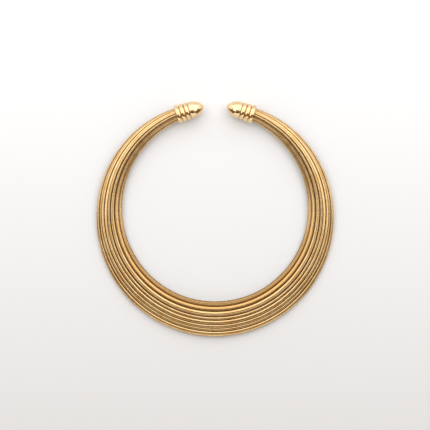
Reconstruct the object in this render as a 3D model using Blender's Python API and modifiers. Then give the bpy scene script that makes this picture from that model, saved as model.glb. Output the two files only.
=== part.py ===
"""Penannular neck ring of gold.

Eight wires lie side by side in an open band. The band is wide and gently domed at the front. Towards
each end its wires grow thin and roll up into a bundle, and a cast terminal with three rounded rings and
a bullet-shaped nose takes the bundle in a socket in its back.

The ring lies on the plane z = 0, its wide front towards -Y and its opening towards +Y, the same on both
sides of the plane x = 0. Its origin is below the middle of its bounding box. All lengths are in metres.
"""
from math import asin, cos, hypot, pi, radians, sin

import bmesh
import bpy
from mathutils import Vector

# Middle line of the band, seen from above, from the front to one end
BAND_RADIUS = 0.0694
BAND_SWEEP = radians(157.7)
END_BEND_RADIUS = 0.010
END_BEND = radians(4.8)

# Diameter of each wire, at the front and where it enters a terminal, from the inner edge outwards
WIRE_DIAMETERS = {
    "strand_1": (0.00345, 0.00188),
    "strand_2": (0.00292, 0.00194),
    "strand_3": (0.00330, 0.00128),
    "strand_4": (0.00195, 0.00068),
    "strand_5": (0.00251, 0.00083),
    "strand_6": (0.00213, 0.00070),
    "strand_7": (0.00167, 0.00075),
    "strand_8": (0.00348, 0.00064),
}
WIRE_GAP = 0.0003

# How far the wires curl round the band's own centre, at the front and at the terminals
FRONT_CURL = radians(30)
END_CURL = radians(130)
TAPER_POWER = 1.55
LEVEL_SHARE = 0.34

# Terminal, measured along its axis from the face that the wires enter
SOCKET_DEPTH = 0.0016
SOCKET_CLEARANCE = 0.0003
SOCKET_LIP = 0.00035
COLLAR_WALL = 0.00111
RING_COUNT = 3
RING_PITCH = 0.0030
RING_STEP = 0.00015
RING_RELIEF = 0.0010
BULLET_STEP = 0.0003
BULLET_SHOULDER = 0.0013
BULLET_ROUNDING = 0.0003
NOSE_LENGTH = 0.0085
NOSE_FULLNESS = 0.65
REST_FLAT_DEPTH = 0.00012

# Fineness of the faceted solids
BAND_STEPS = 26
WIRE_SIDES = 8
RING_FACETS = 6
NOSE_FACETS = 8
TURNING_STEPS = 20
MERGE_DISTANCE = 0.00001
HALVINGS = 60

GOLD = (0.80, 0.52, 0.20, 1.0)
WIRE_ROUGHNESS = 0.32
TERMINAL_ROUGHNESS = 0.12

# A wire's lowest facet lies this share of the radius under its centre
FACET_REACH = cos(pi / WIRE_SIDES)


def half_length():
    """Length of the middle line from the front to a terminal."""
    return BAND_RADIUS * BAND_SWEEP + END_BEND_RADIUS * END_BEND


def middle_line(distance):
    """Point and heading angle of the middle line at a distance from the front, on the +X side."""
    main_length = BAND_RADIUS * BAND_SWEEP
    if distance <= main_length:
        heading = distance / BAND_RADIUS
        return Vector((sin(heading), -cos(heading), 0)) * BAND_RADIUS, heading
    heading = BAND_SWEEP + (distance - main_length) / END_BEND_RADIUS
    bend_centre = Vector((sin(BAND_SWEEP), -cos(BAND_SWEEP), 0)) * (BAND_RADIUS - END_BEND_RADIUS)
    return bend_centre + Vector((sin(heading), -cos(heading), 0)) * END_BEND_RADIUS, heading


def arc_radius(chords, angle):
    """Radius of the arc on which chords of these lengths, end to end, span the angle.

    The radius is found by halving a range, from the smallest circle that takes the longest chord up.
    """
    low = max(chords) / 2
    high = low + 2 * sum(chords) / angle
    for _ in range(HALVINGS):
        middle = (low + high) / 2
        spanned = sum(2 * asin(chord / (2 * middle)) for chord in chords)
        if spanned > angle:
            low = middle
        else:
            high = middle
    return high


def smooth_step(share):
    """A rise from 0 to 1 that starts and ends level."""
    share = min(max(share, 0), 1)
    return share * share * (3 - 2 * share)


def curled_section(share):
    """Radius, outward place and height over the lowest facet of each wire, at a share of the half band.

    The outward places are measured from the middle of the section's width.
    """
    narrowing = share ** TAPER_POWER
    radii = [(front + (end - front) * narrowing) / 2 for front, end in WIRE_DIAMETERS.values()]
    curl = FRONT_CURL + (END_CURL - FRONT_CURL) * narrowing
    chords = [a + b + WIRE_GAP for a, b in zip(radii, radii[1:])]
    arc = arc_radius(chords, curl)
    # The arc is turned a little so that the thick inner wire and the outer wire stand equally low
    edge_difference = FACET_REACH * (radii[0] - radii[-1])
    angle = -curl / 2 + asin(edge_difference / (2 * arc * sin(curl / 2)))
    floor = arc * cos(angle) - radii[0] * FACET_REACH
    wires = []
    for radius, chord in zip(radii, chords + [0]):
        wires.append((radius, arc * sin(angle), arc * cos(angle) - floor))
        angle += 2 * asin(chord / (2 * arc))
    middle = (min(x - r for r, x, z in wires) + max(x + r for r, x, z in wires)) / 2
    return [(r, x - middle, z) for r, x, z in wires]


def bundle():
    """Height of the middle of the bundle at a terminal, and the bundle's radius."""
    wires = curled_section(1)
    height = (min(z - r for r, x, z in wires) + max(z + r for r, x, z in wires)) / 2
    return height, max(hypot(x, z - height) + r for r, x, z in wires)


BUNDLE_HEIGHT, BUNDLE_RADIUS = bundle()
SOCKET_RADIUS = BUNDLE_RADIUS + SOCKET_CLEARANCE
RING_RADIUS = SOCKET_RADIUS + COLLAR_WALL
AXIS_HEIGHT = RING_RADIUS - REST_FLAT_DEPTH
END_LIFT = AXIS_HEIGHT - BUNDLE_HEIGHT


def wire_points(index):
    """Centres and radii of one wire from the front to its end inside the right-hand terminal."""
    points = []
    for step in range(BAND_STEPS + 1):
        share = step / BAND_STEPS
        centre, heading = middle_line(share * half_length())
        radius, outward, height = curled_section(share)[index]
        lift = END_LIFT * smooth_step((share - LEVEL_SHARE) / (1 - LEVEL_SHARE))
        centre += Vector((sin(heading), -cos(heading), 0)) * outward
        centre.z = height + lift
        points.append((centre, radius))
    seat = Vector((cos(heading), sin(heading), 0)) * (SOCKET_DEPTH - SOCKET_CLEARANCE)
    points.append((centre + seat, radius))
    return points


def gold(name, roughness):
    material = bpy.data.materials.new(name)
    material.use_nodes = True
    shader = material.node_tree.nodes["Principled BSDF"]
    shader.inputs["Base Color"].default_value = GOLD
    shader.inputs["Metallic"].default_value = 1.0
    shader.inputs["Roughness"].default_value = roughness
    material.diffuse_color = GOLD
    return material


def make_wire(name, index, collection, ring):
    """A tapering wire, its path mirrored from one end of the band to the other."""
    right = wire_points(index)
    left = [(Vector((-point.x, point.y, point.z)), radius) for point, radius in reversed(right[1:])]
    path = left + right
    curve = bpy.data.curves.new(name, "CURVE")
    curve.dimensions = "3D"
    curve.twist_mode = "Z_UP"
    curve.bevel_depth = right[0][1]
    curve.bevel_resolution = WIRE_SIDES // 2 - 2
    curve.use_fill_caps = True
    spline = curve.splines.new("POLY")
    spline.points.add(len(path) - 1)
    for spot, (point, radius) in zip(spline.points, path):
        spot.co = (*point, 1)
        spot.radius = radius / curve.bevel_depth
        spot.tilt = pi / WIRE_SIDES
    curve.materials.append(gold(name + "_gold", WIRE_ROUGHNESS))
    wire = bpy.data.objects.new(name, curve)
    collection.objects.link(wire)
    wire.parent = ring
    return wire


def terminal_profile():
    """Radius and place along the axis, from the tip down the outer side and up into the socket."""
    bullet_base = RING_COUNT * RING_PITCH
    nose_base = bullet_base + BULLET_SHOULDER
    bullet_radius = RING_RADIUS - (RING_COUNT - 1) * RING_STEP - BULLET_STEP
    profile = [(0, nose_base + NOSE_LENGTH)]
    for facet in range(1, NOSE_FACETS + 1):
        reach = cos(pi / 2 * facet / NOSE_FACETS)
        radius = bullet_radius * (1 - reach * reach) ** NOSE_FULLNESS
        profile.append((radius, nose_base + NOSE_LENGTH * reach))
    profile.append((bullet_radius - BULLET_ROUNDING, bullet_base + BULLET_ROUNDING))
    for ring in reversed(range(RING_COUNT)):
        crest = RING_RADIUS - ring * RING_STEP
        for facet in range(RING_FACETS):
            angle = pi * facet / RING_FACETS
            relief = RING_RELIEF
            if ring == 0 and angle > pi / 2:
                relief = COLLAR_WALL - SOCKET_LIP
            place = (ring + 0.5 + cos(angle) / 2) * RING_PITCH
            profile.append((crest - relief * (1 - sin(angle)), place))
    profile.append((SOCKET_RADIUS + SOCKET_LIP, 0))
    profile.append((SOCKET_RADIUS, 0))
    profile.append((SOCKET_RADIUS, SOCKET_DEPTH))
    profile.append((0, SOCKET_DEPTH))
    return profile


def make_terminal(name, side, collection, ring, table):
    """A turned terminal on the end of the band, side +1 on the right and -1 on the left."""
    outline = bmesh.new()
    spots = [outline.verts.new((radius, 0, place)) for radius, place in terminal_profile()]
    for first, second in zip(spots, spots[1:]):
        outline.edges.new((first, second))
    mesh = bpy.data.meshes.new(name)
    outline.to_mesh(mesh)
    outline.free()
    mesh.materials.append(gold(name + "_gold", TERMINAL_ROUGHNESS))
    terminal = bpy.data.objects.new(name, mesh)
    collection.objects.link(terminal)
    terminal.parent = ring

    turning = terminal.modifiers.new("turning", "SCREW")
    turning.steps = TURNING_STEPS
    turning.render_steps = TURNING_STEPS
    turning.use_merge_vertices = True
    turning.merge_threshold = MERGE_DISTANCE
    turning.use_smooth_shade = True
    resting = terminal.modifiers.new("rest flat", "BOOLEAN")
    resting.operation = "DIFFERENCE"
    resting.solver = "EXACT"
    resting.object = table

    face, heading = middle_line(half_length())
    axis = Vector((side * cos(heading), sin(heading), 0))
    terminal.location = (side * face.x, face.y, AXIS_HEIGHT)
    terminal.rotation_mode = "QUATERNION"
    terminal.rotation_quaternion = axis.to_track_quat("Z", "Y")
    return terminal


def make_table(collection, ring):
    """Cutter under the plane z = 0, wider than the whole ring, for the small flats of the terminals."""
    width = 3 * BAND_RADIUS
    depth = 2 * RING_RADIUS
    box = bmesh.new()
    bmesh.ops.create_cube(box, size=1)
    bmesh.ops.scale(box, vec=(width, width, depth), verts=box.verts)
    mesh = bpy.data.meshes.new("table")
    box.to_mesh(mesh)
    box.free()
    table = bpy.data.objects.new("table", mesh)
    collection.objects.link(table)
    table.parent = ring
    table.location.z = -depth / 2
    table.hide_render = True
    table.display_type = "WIRE"
    return table


def depth_range(parts):
    """Lowest and highest y of the parts as they are evaluated."""
    depsgraph = bpy.context.evaluated_depsgraph_get()
    places = []
    for part in parts:
        shown = part.evaluated_get(depsgraph)
        mesh = shown.to_mesh()
        places += [(shown.matrix_world @ vertex.co).y for vertex in mesh.vertices]
        shown.to_mesh_clear()
    return min(places), max(places)


def main():
    for old in list(bpy.data.objects):
        bpy.data.objects.remove(old, do_unlink=True)
    solids = bpy.data.collections.new("gold_torc")
    cutters = bpy.data.collections.new("cutters")
    bpy.context.scene.collection.children.link(solids)
    bpy.context.scene.collection.children.link(cutters)

    ring = bpy.data.objects.new("torc_origin", None)
    solids.objects.link(ring)
    table = make_table(cutters, ring)
    parts = [make_wire(name, index, solids, ring) for index, name in enumerate(WIRE_DIAMETERS)]
    parts.append(make_terminal("terminal_left", -1, solids, ring, table))
    parts.append(make_terminal("terminal_right", 1, solids, ring, table))

    bpy.context.view_layer.update()
    front, back = depth_range(parts)
    ring.location.y = -(front + back) / 2
    bpy.context.view_layer.update()


main()
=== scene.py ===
# %% [markdown]
# # A gold torc
#
# A torc is an open neck ring. This one is a flat band of eight gold wires that lie side by side. The band
# is wide at the front, where it shows below the chin, and it narrows towards the back of the neck. There
# each end of the bundle of wires disappears into a cast terminal with three rounded rings and a pointed
# end like a bullet.
#
# The solids of the torc come first. They give every piece its place, so that a better looking wire or
# terminal can be put exactly where the plain one is.

# %% Open the solids and note their box
from functools import lru_cache
from math import asin, cos, hypot, pi, radians, sin

import bmesh
import bpy
from mathutils import Matrix, Vector


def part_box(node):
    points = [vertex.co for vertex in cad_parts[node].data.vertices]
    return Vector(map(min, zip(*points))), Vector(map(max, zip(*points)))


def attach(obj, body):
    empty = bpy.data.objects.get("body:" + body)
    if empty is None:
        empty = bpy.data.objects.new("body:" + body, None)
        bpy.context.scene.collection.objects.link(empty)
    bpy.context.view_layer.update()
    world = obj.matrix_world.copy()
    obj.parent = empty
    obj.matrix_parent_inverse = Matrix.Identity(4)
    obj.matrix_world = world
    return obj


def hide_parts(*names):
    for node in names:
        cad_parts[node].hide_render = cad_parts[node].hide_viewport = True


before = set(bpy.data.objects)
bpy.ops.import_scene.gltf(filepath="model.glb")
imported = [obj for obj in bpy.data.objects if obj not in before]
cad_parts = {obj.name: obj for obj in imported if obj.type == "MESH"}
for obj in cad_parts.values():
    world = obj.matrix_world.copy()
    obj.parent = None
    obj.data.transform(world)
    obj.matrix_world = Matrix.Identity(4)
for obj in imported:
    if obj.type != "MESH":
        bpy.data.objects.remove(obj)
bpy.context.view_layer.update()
scene = bpy.context.scene

# %% [markdown]
# ## The line of the band
#
# Seen from above, the middle of the band is almost a circle, with a small extra bend where it turns into
# the terminals. One function gives a point of that line and its direction, for any distance from the
# front. Distances to the left are negative, so the same function serves both halves.

# %% The middle line
BAND_CENTRE_Y = 0.003785
BAND_RADIUS = 0.06932
BAND_SWEEP = radians(157.7)
END_BEND_RADIUS = 0.010
END_BEND = radians(4.8)

MAIN_LENGTH = BAND_RADIUS * BAND_SWEEP
HALF_LENGTH = MAIN_LENGTH + END_BEND_RADIUS * END_BEND


def outwards(heading):
    """The direction away from the middle of the ring, where the band runs in this heading."""
    return Vector((sin(heading), -cos(heading), 0))


def middle_line(distance):
    """Point and heading of the middle of the band at a distance from the front."""
    side = -1 if distance < 0 else 1
    distance = abs(distance)
    heading = min(distance, MAIN_LENGTH) / BAND_RADIUS
    point = outwards(side * heading) * BAND_RADIUS
    if distance > MAIN_LENGTH:
        bend_centre = outwards(side * BAND_SWEEP) * (BAND_RADIUS - END_BEND_RADIUS)
        heading = BAND_SWEEP + (distance - MAIN_LENGTH) / END_BEND_RADIUS
        point = bend_centre + outwards(side * heading) * END_BEND_RADIUS
    return point + Vector((0, BAND_CENTRE_Y, 0)), side * heading


print("half the band is", round(HALF_LENGTH * 1000, 1), "mm long")

# %% [markdown]
# ## How the wires lie in the band
#
# Each wire has a thickness of its own, and all of them grow thinner towards the terminals. They don't
# lie in a flat row. Their centres sit on an arc, so the band is gently domed at the front, and towards
# the ends it curls up until it is round enough to enter a terminal. The arc is found from the wires
# themselves: neighbours touch, so the steps from centre to centre are known, and the arc must be just
# round enough to take them all.

# %% Thickness of the wires and curl of the band
WIRE_DIAMETERS = {
    "strand_1": (0.00346, 0.00195),
    "strand_2": (0.00322, 0.00224),
    "strand_3": (0.00360, 0.00158),
    "strand_4": (0.00225, 0.00098),
    "strand_5": (0.00281, 0.00113),
    "strand_6": (0.00243, 0.00100),
    "strand_7": (0.00197, 0.00105),
    "strand_8": (0.00350, 0.00074),
}
FRONT_CURL = radians(30)
END_CURL = radians(130)
TAPER_POWER = 1.55
HALVINGS = 50


def arc_radius(chords, angle):
    """Radius of the arc on which chords of these lengths, end to end, span the angle."""
    low = max(chords) / 2
    high = low + 2 * sum(chords) / angle
    for _ in range(HALVINGS):
        middle = (low + high) / 2
        spanned = sum(2 * asin(chord / (2 * middle)) for chord in chords)
        low, high = (middle, high) if spanned > angle else (low, middle)
    return high


@lru_cache(maxsize=None)
def band_section(share):
    """Radius, outward place, height and lean of each wire, at a share of the way to a terminal."""
    narrowing = share**TAPER_POWER
    radii = [(front + (end - front) * narrowing) / 2 for front, end in WIRE_DIAMETERS.values()]
    curl = FRONT_CURL + (END_CURL - FRONT_CURL) * narrowing
    chords = [a + b for a, b in zip(radii, radii[1:])]
    arc = arc_radius(chords, curl)
    angle = -curl / 2 + asin((radii[0] - radii[-1]) / (2 * arc * sin(curl / 2)))
    floor = arc * cos(angle) - radii[0]
    wires = []
    for radius, chord in zip(radii, chords + [0]):
        wires.append((radius, arc * sin(angle), arc * cos(angle) - floor, angle))
        angle += 2 * asin(chord / (2 * arc))
    middle = (min(x - r for r, x, z, lean in wires) + max(x + r for r, x, z, lean in wires)) / 2
    return [(r, x - middle, z, lean) for r, x, z, lean in wires]


front = band_section(0)
print("the band is", round(2000 * (front[-1][1] + front[-1][0]), 2), "mm wide at the front")

# %% [markdown]
# ## Where the ends of the band are carried
#
# The band lies on the table at the front. The terminals are thicker than the band, so they hold its
# ends a little higher. The height of a terminal comes from its solid, and the lift of the wires follows
# from it, with a soft start and a soft end.

# %% Height of the terminals and lift of the ends
REST_FLAT_DEPTH = 0.00012
RING_RADIUS = (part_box("terminal_right")[1].z + REST_FLAT_DEPTH) / 2
AXIS_HEIGHT = RING_RADIUS - REST_FLAT_DEPTH
LEVEL_SHARE = 0.34

bundle = band_section(1)
BUNDLE_HEIGHT = (min(z - r for r, x, z, lean in bundle) + max(z + r for r, x, z, lean in bundle)) / 2
END_LIFT = AXIS_HEIGHT - BUNDLE_HEIGHT


def lift(share):
    """How far the band is raised, at a share of the way to a terminal."""
    rise = min(max((share - LEVEL_SHARE) / (1 - LEVEL_SHARE), 0), 1)
    return END_LIFT * rise * rise * (3 - 2 * rise)


print("terminal axis at", round(AXIS_HEIGHT * 1000, 2), "mm, ends lifted", round(END_LIFT * 1000, 2), "mm")

# %% [markdown]
# ## The shape of a wire
#
# The wires of the band aren't simply round. After they were laid side by side, their tops were burnished,
# rubbed with a hard smooth tool, so each wire is a little lower and broader on top than a full round. A
# superellipse gives that shape. With a power of 2 it is a circle, and with a higher power it grows
# flatter on top and steeper at the side. Two pairs of thin wires are pressed together so closely
# towards the terminals that each pair reads as one, so their power rises there.
#
# Three of the thicker wires also carry fine lines, scored along them at the front and fading out
# towards the sides: two on the innermost wire, and one on each of the others. They are shallow dips in
# the same shape, so no separate cut is needed.

# %% The burnished top
TOP_HEIGHT = 0.90
TOP_POWER = 2.5
FREE_POWER = 2.0
PAIRS = {("strand_4", "strand_5"), ("strand_6", "strand_7")}
PAIR_POWER = 14.0
PAIR_START = 0.45
PAIR_END = 0.78


def soft_rise(value, start, end):
    """0 before the start, 1 past the end, and a smooth step between them."""
    rise = min(max((value - start) / (end - start), 0), 1)
    return rise * rise * (3 - 2 * rise)


def side_powers(index, share):
    """Power of the superellipse on the inner and on the outer side of a wire's top."""
    names = list(WIRE_DIAMETERS)
    powers = []
    for step in (-1, 1):
        if not 0 <= index + step < len(names):
            powers.append(FREE_POWER)
            continue
        pair = tuple(sorted((names[index], names[index + step])))
        closeness = soft_rise(share, PAIR_START, PAIR_END) if pair in PAIRS else 0
        powers.append(TOP_POWER + (PAIR_POWER - TOP_POWER) * closeness)
    return powers


# Places of the scored lines on three of the wires, from -1 at the inner side to 1 at the outer side
SCORED = {"strand_1": (-0.42, 0.22), "strand_3": (0.12,), "strand_8": (-0.26,)}
SCORE_WIDTH = 0.24
SCORE_DEPTH = 0.10
SCORE_FADE = (0.42, 0.60)


def scored(index, across, share):
    """How far a place on a wire lies in a scored line: 1 in the line, 0 beside it."""
    places = SCORED.get(list(WIRE_DIAMETERS)[index], ())
    depths = [1 - abs(across - place) / SCORE_WIDTH for place in places]
    return max(depths + [0]) * (1 - soft_rise(share, *SCORE_FADE))


def burnished(spot, powers, score):
    """Presses the upper side of a unit circle flat, and cuts the scored lines into it."""
    upwards = spot.y
    if upwards > 0:
        power = powers[0] if spot.x < 0 else powers[1]
        upwards = TOP_HEIGHT * max(1 - abs(spot.x) ** power, 0) ** (1 / power)
    return Vector((spot.x, upwards, 0)) * (1 - SCORE_DEPTH * score)


print("tops pressed to", TOP_HEIGHT, "of the radius")

# %% [markdown]
# ## Where the metal is dull and where shade is painted
#
# Polish and wear reach the tops of the wires, but not the grooves between them, where old gold turns
# brown. That brown is patina and painted shade together: it also stands for the shade that falls into the
# grooves, into the scored lines and onto the inner and outer edges of the band. The grooves grow wider
# and darker towards the terminals, and between the wires of a pressed pair they fade out. At the front
# the two innermost wires are painted darker. All of that could be a painted texture, but it follows from
# where a point lies, so it is worked out here and handed to the material as numbers.

# %% Painted shade and patina in the grooves, and the darker front
# Where the painted shade and patina start and end: across each groove, and on the inner edge of the band
GROOVE_INNER = (0.74, 0.96)
GROOVE_OUTER = (0.50, 0.84)
INNER_EDGE = (0.20, 0.70)
EDGE_FADING = 0.6
GROOVE_WIDENING = 0.25
END_DEEPENING = 0.7
# The front of the two innermost wires is painted darker, fading out towards the sides
DARKER_FRONT_WIRES = 2
DARKER_FRONT_FADE = (0.38, 0.62)
# Painted shade and patina of the inner edge of the band, of each groove between two wires, and of the
# outer edge
GROOVE_TONES = (0.85, 0.20, 0.55, 1.0, 0.85, 1.0, 0.90, 0.90, 0.20)


def groove_tone(gap, share):
    """How dark and dull a groove between two wires is, with patina and painted shade. Towards the ends it
    is deeper and gets darker.
    """
    deepening = END_DEEPENING * soft_rise(share, PAIR_START, PAIR_END)
    return GROOVE_TONES[gap] + (1 - GROOVE_TONES[gap]) * deepening


def groove_depth(index, spot, score, powers, share):
    """Painted shade and patina: 0 on the polished top of a wire, up to 1 in the groove beside it, on an
    edge of the band or in its scored line.
    """
    outer_side = spot.x > 0
    power = powers[1] if outer_side else powers[0]
    apart = min((PAIR_POWER - power) / (PAIR_POWER - TOP_POWER), 1)
    across = abs(spot.x) * (1 + GROOVE_WIDENING * soft_rise(share, PAIR_START, PAIR_END))
    if outer_side:
        outermost = index + 1 == len(WIRE_DIAMETERS)
        tone = GROOVE_TONES[-1] if outermost else groove_tone(index + 1, share)
        return max(score, tone * apart * soft_rise(across, *GROOVE_OUTER))
    if index == 0:
        fading = 1 - EDGE_FADING * soft_rise(share, *SCORE_FADE)
        return max(score, GROOVE_TONES[0] * fading * soft_rise(-spot.x, *INNER_EDGE))
    return max(score, groove_tone(index, share) * apart * soft_rise(across, *GROOVE_INNER))


def darker_front_share(index, share):
    """1 where a wire is painted darker, which is at the front of the innermost wires."""
    return 1 - soft_rise(share, *DARKER_FRONT_FADE) if index < DARKER_FRONT_WIRES else 0


print("grooves get", END_DEEPENING, "of the way to fully dull at the ends")

# %% [markdown]
# ## A wire
#
# A drawn wire is a round that is pulled along a path, so it is made in the same way here. A bmesh
# starts with one circle. The circle is extruded, the new ring of points is carried to the next place on
# the path and set to the thickness there, and so on to the far end. A curve with a bevel would give
# nearly the same shape, but the extrusion leaves us with every ring in hand. That lets each ring be
# pressed flat on top, and lets each point remember three things for its material: where it would lie if
# the wire were pulled straight, how deep it sits in a groove, which sets its patina and painted shade,
# and how much darker that wire is at the front.

# %% Stations along the band
WIRE_SIDES = 72
WIRE_STATIONS = 280
WIRE_SEAT = 0.0012


def wire_station(share, index):
    """Matrix, radius, share of the way and powers of the top, for one ring of a wire."""
    distance = min(max(share, -1), 1) * HALF_LENGTH
    centre, heading = middle_line(distance)
    share_here = round(abs(distance) / HALF_LENGTH, 6)
    radius, outward, height, lean = band_section(share_here)[index]
    along = Vector((cos(heading), sin(heading), 0))
    centre += outwards(heading) * outward + along * (share * HALF_LENGTH - distance)
    centre.z = height + lift(share_here)
    turned = Matrix((outwards(heading), Vector((0, 0, 1)), along)).transposed().to_4x4()
    matrix = Matrix.Translation(centre) @ turned @ Matrix.Rotation(-lean, 4, "Z") @ Matrix.Scale(radius, 4)
    return matrix, radius, share_here, side_powers(index, share_here)


print("each wire has", WIRE_STATIONS + 1, "rings of", WIRE_SIDES, "points")

# %% [markdown]
# Every finished shape becomes an object in the same way. Its long faces are shaded smooth and its caps
# stay flat. It rides on the body of the torc and takes the place of the plain solid of that name.

# %% Turn a shape into a piece
def finished_piece(shape, name, node):
    """Turns a bmesh into a smooth object that stands for a node and moves with the torc."""
    for face in shape.faces:
        face.smooth = len(face.verts) == 4
    mesh = bpy.data.meshes.new(name)
    shape.to_mesh(mesh)
    shape.free()
    piece = bpy.data.objects.new(name, mesh)
    scene.collection.objects.link(piece)
    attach(piece, "root")
    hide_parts(node)
    return piece


# %% [markdown]
# Now the extrusion itself, once for each wire. It starts and ends a little beyond the band, so that the
# wires reach into the sockets of the terminals.

# %% Carry a circle along the band
def make_wire(name, index):
    shape = bmesh.new()
    place = shape.verts.layers.float_vector.new("own_place")
    groove = shape.verts.layers.float.new("groove")
    darker_front = shape.verts.layers.float.new("darker_front")
    start = bmesh.ops.create_circle(shape, cap_ends=True, segments=WIRE_SIDES, radius=1)
    ring = start["verts"]
    round_spots = [point.co.copy() for point in ring]
    edges = list(shape.edges)
    reach = 1 + WIRE_SEAT / HALF_LENGTH
    for step in range(WIRE_STATIONS + 1):
        share = reach * (2 * step / WIRE_STATIONS - 1)
        if step > 0:
            grown = bmesh.ops.extrude_edge_only(shape, edges=edges)["geom"]
            ring = [part for part in grown if isinstance(part, bmesh.types.BMVert)]
            edges = [part for part in grown if isinstance(part, bmesh.types.BMEdge)]
            edges = [edge for edge in edges if all(end in ring for end in edge.verts)]
        matrix, radius, share_here, powers = wire_station(share, index)
        for point, spot in zip(ring, round_spots):
            score = scored(index, spot.x, share_here) if spot.y > 0 else 0
            pressed = burnished(spot, powers, score)
            point.co = matrix @ pressed
            point[place] = (share * HALF_LENGTH, pressed.x * radius, pressed.y * radius)
            # Patina and painted shade of grooves and edges, and the darker front of the inner wires
            point[groove] = groove_depth(index, spot, score, powers, share_here)
            point[darker_front] = darker_front_share(index, share_here)
    bmesh.ops.contextual_create(shape, geom=edges)
    bmesh.ops.recalc_face_normals(shape, faces=shape.faces)
    return finished_piece(shape, name + "_wire", name)


wires = [make_wire(name, index) for index, name in enumerate(WIRE_DIAMETERS)]
print(len(wires), "wires with", sum(len(wire.data.polygons) for wire in wires), "faces")

# %% [markdown]
# ## The outline of a terminal
#
# A terminal is round about its own axis, so it only takes an outline and a full turn. The outline runs
# from the tip down the outside to the face that the wires enter, and into the socket. The nose is a
# curve between a dome and a cone. The rings are half rounds with narrow creases between them. All
# places are measured along the axis from the face of the first ring. The droop rounds the shoulder
# between the nose and the nearest ring.

# %% Outline of a terminal
RING_PITCH = 0.0030
RING_STEP = 0.00015
RING_RELIEF = 0.0010
BULLET_STEP = 0.0003
BULLET_SHOULDER = 0.0013
SHOULDER_DROOP = 0.00042
SHOULDER_TURNS = (0.35, 0.7, 1.0)
NOSE_LENGTH = 0.0085
NOSE_FULLNESS = 0.65
SOCKET_RADIUS = RING_RADIUS - 0.00111
SOCKET_DEPTH = 0.0016
SOCKET_EDGE = 0.0001
LIP = 0.00035
RING_POINTS = 16
NOSE_POINTS = 20


def terminal_outline():
    bullet_base = 3 * RING_PITCH
    bullet_radius = RING_RADIUS - 2 * RING_STEP - BULLET_STEP
    nose_base = bullet_base + BULLET_SHOULDER
    points = [(0, nose_base + NOSE_LENGTH)]
    for step in range(1, NOSE_POINTS + 1):
        reach = cos(pi / 2 * step / NOSE_POINTS)
        radius = bullet_radius * (1 - reach * reach) ** NOSE_FULLNESS
        points.append((radius, nose_base + NOSE_LENGTH * reach))
    for turn in SHOULDER_TURNS:
        droop = SHOULDER_DROOP * (1 - cos(turn * pi / 2))
        points.append((bullet_radius - droop, bullet_base + BULLET_SHOULDER * (1 - turn)))
    for ring in (2, 1, 0):
        crest = RING_RADIUS - ring * RING_STEP
        for step in range(RING_POINTS):
            angle = pi * step / RING_POINTS
            faces_wires = ring == 0 and angle > pi / 2
            relief = RING_RADIUS - SOCKET_RADIUS - LIP if faces_wires else RING_RELIEF
            place = (ring + 0.5 + cos(angle) / 2) * RING_PITCH
            points.append((crest - relief * (1 - sin(angle)), place))
    points += [(SOCKET_RADIUS + LIP, 0), (SOCKET_RADIUS, SOCKET_EDGE)]
    points += [(SOCKET_RADIUS, SOCKET_DEPTH), (0, SOCKET_DEPTH)]
    return points


print("the outline has", len(terminal_outline()), "points")

# %% [markdown]
# ## Turn the terminals
#
# Spin with a full turn and use_merge closes the surface. The turned shape remembers where its points
# are before it is put in its place, because fine turning marks have to run around its own axis. At the
# bottom, bisect_plane takes off a sliver, which is the small worn flat that the torc lies on.

# %% Spin the outline and place it
TURNED_STEPS = 96
MERGE_DISTANCE = 0.000001
CREASE_START = 0.35
RINGS_REACH = 3.05 * RING_PITCH


def make_terminal(name, side):
    shape = bmesh.new()
    spots = [shape.verts.new((radius, 0, place)) for radius, place in terminal_outline()]
    edges = [shape.edges.new(pair) for pair in zip(spots, spots[1:])]
    bmesh.ops.spin(
        shape,
        geom=spots + edges,
        cent=(0, 0, 0),
        axis=(0, 0, 1),
        angle=2 * pi,
        steps=TURNED_STEPS,
        use_merge=True,
    )
    bmesh.ops.remove_doubles(shape, verts=shape.verts, dist=MERGE_DISTANCE)
    bmesh.ops.recalc_face_normals(shape, faces=shape.faces)
    place = shape.verts.layers.float_vector.new("own_place")
    groove = shape.verts.layers.float.new("groove")
    # Each point's groove value is the patina and painted shade of the creases between the rings, more the
    # deeper it lies
    for point in shape.verts:
        point[place] = point.co
        depth = RING_RADIUS - hypot(point.co.x, point.co.y)
        in_rings = point.co.z < RINGS_REACH
        point[groove] = min(max(depth / RING_RELIEF - CREASE_START, 0), 1) if in_rings else 0
    centre, heading = middle_line(side * HALF_LENGTH)
    axis = Vector((side * cos(heading), side * sin(heading), 0))
    turn = axis.to_track_quat("Z", "Y").to_matrix().to_4x4()
    centre.z = AXIS_HEIGHT
    bmesh.ops.transform(shape, matrix=Matrix.Translation(centre) @ turn, verts=shape.verts)
    everything = shape.verts[:] + shape.edges[:] + shape.faces[:]
    table_plane = {"plane_co": (0, 0, 0), "plane_no": (0, 0, 1)}
    cut = bmesh.ops.bisect_plane(shape, geom=everything, clear_inner=True, **table_plane)
    rim = [part for part in cut["geom_cut"] if isinstance(part, bmesh.types.BMEdge)]
    bmesh.ops.contextual_create(shape, geom=rim)
    return finished_piece(shape, name + "_cast", name)


terminals = [make_terminal("terminal_left", -1), make_terminal("terminal_right", 1)]
print("terminals with", [len(terminal.data.polygons) for terminal in terminals], "faces")

# %% [markdown]
# ## Gold
#
# Gold has no colour of its own under its shine: what gives it colour is that its reflection is yellow.
# In the shader that is a metallic surface whose base colour is the colour of the reflection. A plain
# metal looks like plastic film, though. Old gold is polished by wear on its crests, and dull and a
# little redder in its grooves, and the brown of the grooves is also painted shade for the shade that falls
# into them. It has soft dents, fine lines from the drawing of the wire or the turning
# of the casting, and tiny scratches in all directions.
#
# Each of these is a small group of nodes below, and one function joins them, so that the wires and the
# terminals share the metal and differ in their marks. At the front the two innermost wires are painted
# darker.

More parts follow.
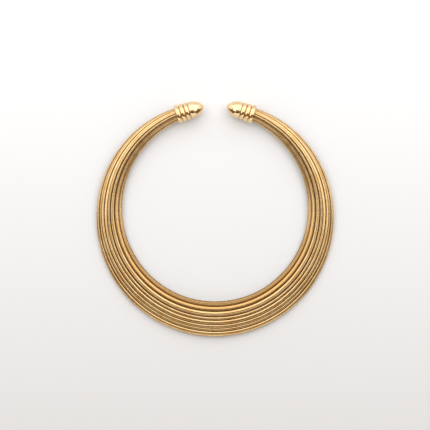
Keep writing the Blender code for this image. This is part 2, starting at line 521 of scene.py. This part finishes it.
# %% Helpers for node trees
def new_node(tree, kind, **settings):
    node = tree.nodes.new(kind)
    for key, value in settings.items():
        if key in node.inputs:
            node.inputs[key].default_value = value
        else:
            setattr(node, key, value)
    return node


def noise(tree, vector, scale, detail=2.0):
    node = new_node(tree, "ShaderNodeTexNoise", Scale=scale, Detail=detail)
    tree.links.new(vector, node.inputs["Vector"])
    return node.outputs["Fac"]


def stretched(tree, vector, scale, rotation=(0, 0, 0)):
    node = new_node(tree, "ShaderNodeMapping", Scale=scale, Rotation=rotation)
    tree.links.new(vector, node.inputs["Vector"])
    return node.outputs["Vector"]


def band_of(tree, value, low, high, to_low, to_high):
    """Maps a range of a value softly to another range."""
    node = new_node(tree, "ShaderNodeMapRange", interpolation_type="SMOOTHSTEP")
    for key, number in (("From Min", low), ("From Max", high), ("To Min", to_low), ("To Max", to_high)):
        node.inputs[key].default_value = number
    tree.links.new(value, node.inputs["Value"])
    return node.outputs["Result"]


def combined(tree, operation, first, second):
    node = new_node(tree, "ShaderNodeMath", operation=operation)
    for socket, value in zip(node.inputs, (first, second)):
        if isinstance(value, (int, float)):
            socket.default_value = value
        else:
            tree.links.new(value, socket)
    return node.outputs["Value"]


def blend_colours(tree, share, first, second):
    node = new_node(tree, "ShaderNodeMix", data_type="RGBA")
    tree.links.new(share, node.inputs["Factor"])
    for socket, colour in ((node.inputs["A"], first), (node.inputs["B"], second)):
        if isinstance(colour, tuple):
            socket.default_value = colour
        else:
            tree.links.new(colour, socket)
    return node.outputs["Result"]


# %% [markdown]
# The gold itself. The wires' lines run along the wire, so the noise is read with a small scale along it
# and a large one across. The marks of the casting run around the terminal, so they change fast along
# its axis and hardly at all across it.

# %% Worn gold
# The metal in two tones, cloudy and clear, and the brown of patina and painted shade in the grooves
WIRE_GOLD = ((0.735, 0.512, 0.252, 1), (0.69, 0.447, 0.192, 1), (0.10, 0.035, 0.008, 1))
# A darker gold for the front of the two innermost wires
DARKER_FRONT_GOLD = (0.575, 0.365, 0.148, 1)
CAST_GOLD = ((0.88, 0.66, 0.38, 1), (0.83, 0.59, 0.31, 1), (0.42, 0.20, 0.06, 1))
DENT_DEPTH = 0.000025
SCRATCH_DEPTH = 0.000004
SCRATCH_STRENGTH = 0.4
CLOUD_SCALE = 140
PATCH_SCALE = 900
SMUDGE_SCALE = 420
HAIR_SCALE = (300, 9000, 9000)
HAIR_TURN = (0.4, 0.3, 0.9)
CLOUD_RANGE = (0.4, 0.65)
PATCH_RANGE = (0.2, 0.8)
SMUDGE_RANGE = (0.3, 0.7)
HAIR_RANGE = (0.66, 0.72)
LEAST_PATINA_AND_SHADE = 0.6
SMUDGE_LESS = 0.04
SMUDGE_MORE = 0.05
GROOVE_DULLNESS = 0.2
SCRATCH_DULLNESS = 0.08


def worn_gold(name, tones, roughness, line_scale, line_depth):
    """Metal with cloudy tone, marks of its making, tiny scratches, and dull grooves with patina and
    painted shade.
    """
    material = bpy.data.materials.new(name)
    material.use_nodes = True
    tree = material.node_tree
    shader = tree.nodes["Principled BSDF"]
    shader.inputs["Metallic"].default_value = 1.0
    own_place = new_node(tree, "ShaderNodeAttribute", attribute_name="own_place").outputs["Vector"]
    groove = new_node(tree, "ShaderNodeAttribute", attribute_name="groove").outputs["Fac"]

    clouds = noise(tree, own_place, CLOUD_SCALE, detail=3.0)
    metal = blend_colours(tree, band_of(tree, clouds, *CLOUD_RANGE, 0, 1), tones[0], tones[1])
    darker_front = new_node(tree, "ShaderNodeAttribute", attribute_name="darker_front").outputs["Fac"]
    metal = blend_colours(tree, darker_front, metal, DARKER_FRONT_GOLD)
    # The grooves, edges and creases get patina and painted shade, a little uneven from place to place
    patches = band_of(tree, noise(tree, own_place, PATCH_SCALE), *PATCH_RANGE, LEAST_PATINA_AND_SHADE, 1)
    patina_and_shade = combined(tree, "MULTIPLY", groove, patches)
    tree.links.new(blend_colours(tree, patina_and_shade, metal, tones[2]), shader.inputs["Base Color"])

    lines = noise(tree, stretched(tree, own_place, line_scale), scale=1.0, detail=4.0)
    hair = noise(tree, stretched(tree, own_place, HAIR_SCALE, HAIR_TURN), scale=1.0, detail=1.0)
    scratches = band_of(tree, hair, *HAIR_RANGE, 0, 1)
    smudges = noise(tree, own_place, SMUDGE_SCALE, detail=3.0)
    rough = band_of(tree, smudges, *SMUDGE_RANGE, roughness - SMUDGE_LESS, roughness + SMUDGE_MORE)
    rough = combined(tree, "ADD", rough, combined(tree, "MULTIPLY", patina_and_shade, GROOVE_DULLNESS))
    rough = combined(tree, "ADD", rough, combined(tree, "MULTIPLY", scratches, SCRATCH_DULLNESS))
    tree.links.new(rough, shader.inputs["Roughness"])

    marks = new_node(tree, "ShaderNodeBump", Strength=1.0, Distance=line_depth)
    tree.links.new(lines, marks.inputs["Height"])
    dents = new_node(tree, "ShaderNodeBump", Strength=1.0, Distance=DENT_DEPTH)
    tree.links.new(smudges, dents.inputs["Height"])
    tree.links.new(marks.outputs["Normal"], dents.inputs["Normal"])
    cuts = new_node(tree, "ShaderNodeBump", Strength=SCRATCH_STRENGTH, Distance=SCRATCH_DEPTH, invert=True)
    tree.links.new(scratches, cuts.inputs["Height"])
    tree.links.new(dents.outputs["Normal"], cuts.inputs["Normal"])
    tree.links.new(cuts.outputs["Normal"], shader.inputs["Normal"])
    return material


DRAWN_LINES = (25, 5000, 5000)
DRAWN_ROUGHNESS = 0.30
TURNED_LINES = (200, 200, 3000)
TURNED_ROUGHNESS = 0.11
LINE_DEPTH = 0.000004

drawn_gold = worn_gold("drawn_gold", WIRE_GOLD, DRAWN_ROUGHNESS, DRAWN_LINES, LINE_DEPTH)
cast_gold = worn_gold("cast_gold", CAST_GOLD, TURNED_ROUGHNESS, TURNED_LINES, LINE_DEPTH)
for wire in wires:
    wire.data.materials.append(drawn_gold)
for terminal in terminals:
    terminal.data.materials.append(cast_gold)
print("materials:", drawn_gold.name, cast_gold.name)

# %% [markdown]
# ## The table
#
# The torc lies on a plain white surface, which runs far beyond the picture so that its edges never show.
# It is nearly matt, and a trace cooler than grey, because the dim room adds some warm light. What it
# throws back shows under the rounded sides of the wires.

# %% White table
TABLE_SIZE = 4.0
TABLE_CELLS = 8
PAPER_WHITE = (0.812, 0.836, 0.868, 1)

shape = bmesh.new()
bmesh.ops.create_grid(shape, x_segments=TABLE_CELLS, y_segments=TABLE_CELLS, size=TABLE_SIZE / 2)
mesh = bpy.data.meshes.new("white_table")
shape.to_mesh(mesh)
shape.free()
table = bpy.data.objects.new("white_table", mesh)
scene.collection.objects.link(table)
paper = bpy.data.materials.new("white_paper")
paper.use_nodes = True
surface = paper.node_tree.nodes["Principled BSDF"]
surface.inputs["Base Color"].default_value = PAPER_WHITE
surface.inputs["Roughness"].default_value = 0.9
surface.inputs["Specular IOR Level"].default_value = 0.2
mesh.materials.append(paper)
print("table", TABLE_SIZE, "m across")

# %% [markdown]
# ## The light
#
# Polished metal shows its surroundings, so the lights are made for what the gold sees, not only for how
# bright the table gets. Jewellery is often lit inside a tent of white cloth, and the soft panels here
# are the walls and the ceiling of such a tent. The back of the tent is the brightest part: it gives the
# long pale streaks and the highlights of the terminals. A strip of the ceiling stays open above the
# front half of the torc and draws the dark line along each terminal. The room outside the tent is dim
# and warm, so that line is brown and not black.

# %% Soft panels
def soft_panel(name, low, high, width, brightness):
    """A flat light as wide as given, from the middle of one edge to the middle of the other."""
    low, high = Vector(low), Vector(high)
    light = bpy.data.lights.new(name, "AREA")
    light.shape = "RECTANGLE"
    light.size = width
    light.size_y = (high - low).length
    light.energy = brightness * pi * light.size * light.size_y
    panel = bpy.data.objects.new(name, light)
    scene.collection.objects.link(panel)
    panel.location = (low + high) / 2
    rise = (high - low).normalized()
    backwards = panel.location - rise * panel.location.dot(rise)
    backwards.normalize()
    panel.rotation_euler = Matrix((rise.cross(backwards), rise, backwards)).transposed().to_euler()
    panel.visible_camera = False
    return panel


TENT_WIDTH = 1.2
TENT_REACH = 0.62
TENT_SIDE = 0.60
TENT_TOP = 0.50
TENT_FOOT = 0.02
BACK_SPLIT = 0.26
FRONT_TOP = 0.46

foot_back, split_back = (0, TENT_REACH, TENT_FOOT), (0, TENT_REACH, BACK_SPLIT)
top_back, top_middle = (0, TENT_REACH, TENT_TOP), (0, 0, TENT_TOP)
foot_front, top_front = (0, -TENT_REACH, TENT_FOOT), (0, -TENT_REACH, FRONT_TOP)
soft_panel("back_wall_low", foot_back, split_back, TENT_WIDTH, brightness=0.90)
soft_panel("back_wall_high", split_back, top_back, TENT_WIDTH, brightness=2.10)
soft_panel("back_ceiling", top_back, top_middle, TENT_WIDTH, brightness=1.65)
soft_panel("front_wall", foot_front, top_front, TENT_WIDTH, brightness=1.10)

SIDE_WALL_Y = 0.30
SIDE_WALL_WIDTH = 0.64
SIDE_CEILING_X = 0.24
SIDE_CEILING_Y = -0.09
SIDE_CEILING_WIDTH = 0.18
for side in (-1, 1):
    edge = side * TENT_SIDE
    foot, top = (edge, SIDE_WALL_Y, TENT_FOOT), (edge, SIDE_WALL_Y, TENT_TOP)
    soft_panel("side_wall", foot, top, SIDE_WALL_WIDTH, brightness=1.05)
    outer = (edge, SIDE_CEILING_Y, TENT_TOP)
    inner = (side * SIDE_CEILING_X, SIDE_CEILING_Y, TENT_TOP)
    soft_panel("side_ceiling", outer, inner, SIDE_CEILING_WIDTH, brightness=1.60)

ROOM_COLOUR = (1.0, 0.72, 0.46, 1)
ROOM_BRIGHTNESS = 0.20
world = bpy.data.worlds.new("dim_room")
scene.world = world
world.use_nodes = True
room = world.node_tree.nodes["Background"]
room.inputs["Color"].default_value = ROOM_COLOUR
room.inputs["Strength"].default_value = ROOM_BRIGHTNESS
scene.view_settings.view_transform = "Standard"

# %% [markdown]
# ## The camera
#
# The picture looks straight down. A long lens from above keeps the ring round and shows hardly any of
# its sides.

# %% Camera
CAMERA_HEIGHT = 1.2
VIEW_WIDTH = 0.2812
VIEW_CENTRE = (-0.00007, 0.00264)
SENSOR_WIDTH = 36

camera_data = bpy.data.cameras.new("overhead")
camera_data.sensor_width = SENSOR_WIDTH
camera_data.lens = SENSOR_WIDTH * (CAMERA_HEIGHT - AXIS_HEIGHT) / VIEW_WIDTH
camera = bpy.data.objects.new("overhead", camera_data)
scene.collection.objects.link(camera)
camera.location = (*VIEW_CENTRE, CAMERA_HEIGHT)
scene.camera = camera
print("lens", round(camera_data.lens, 1), "mm")
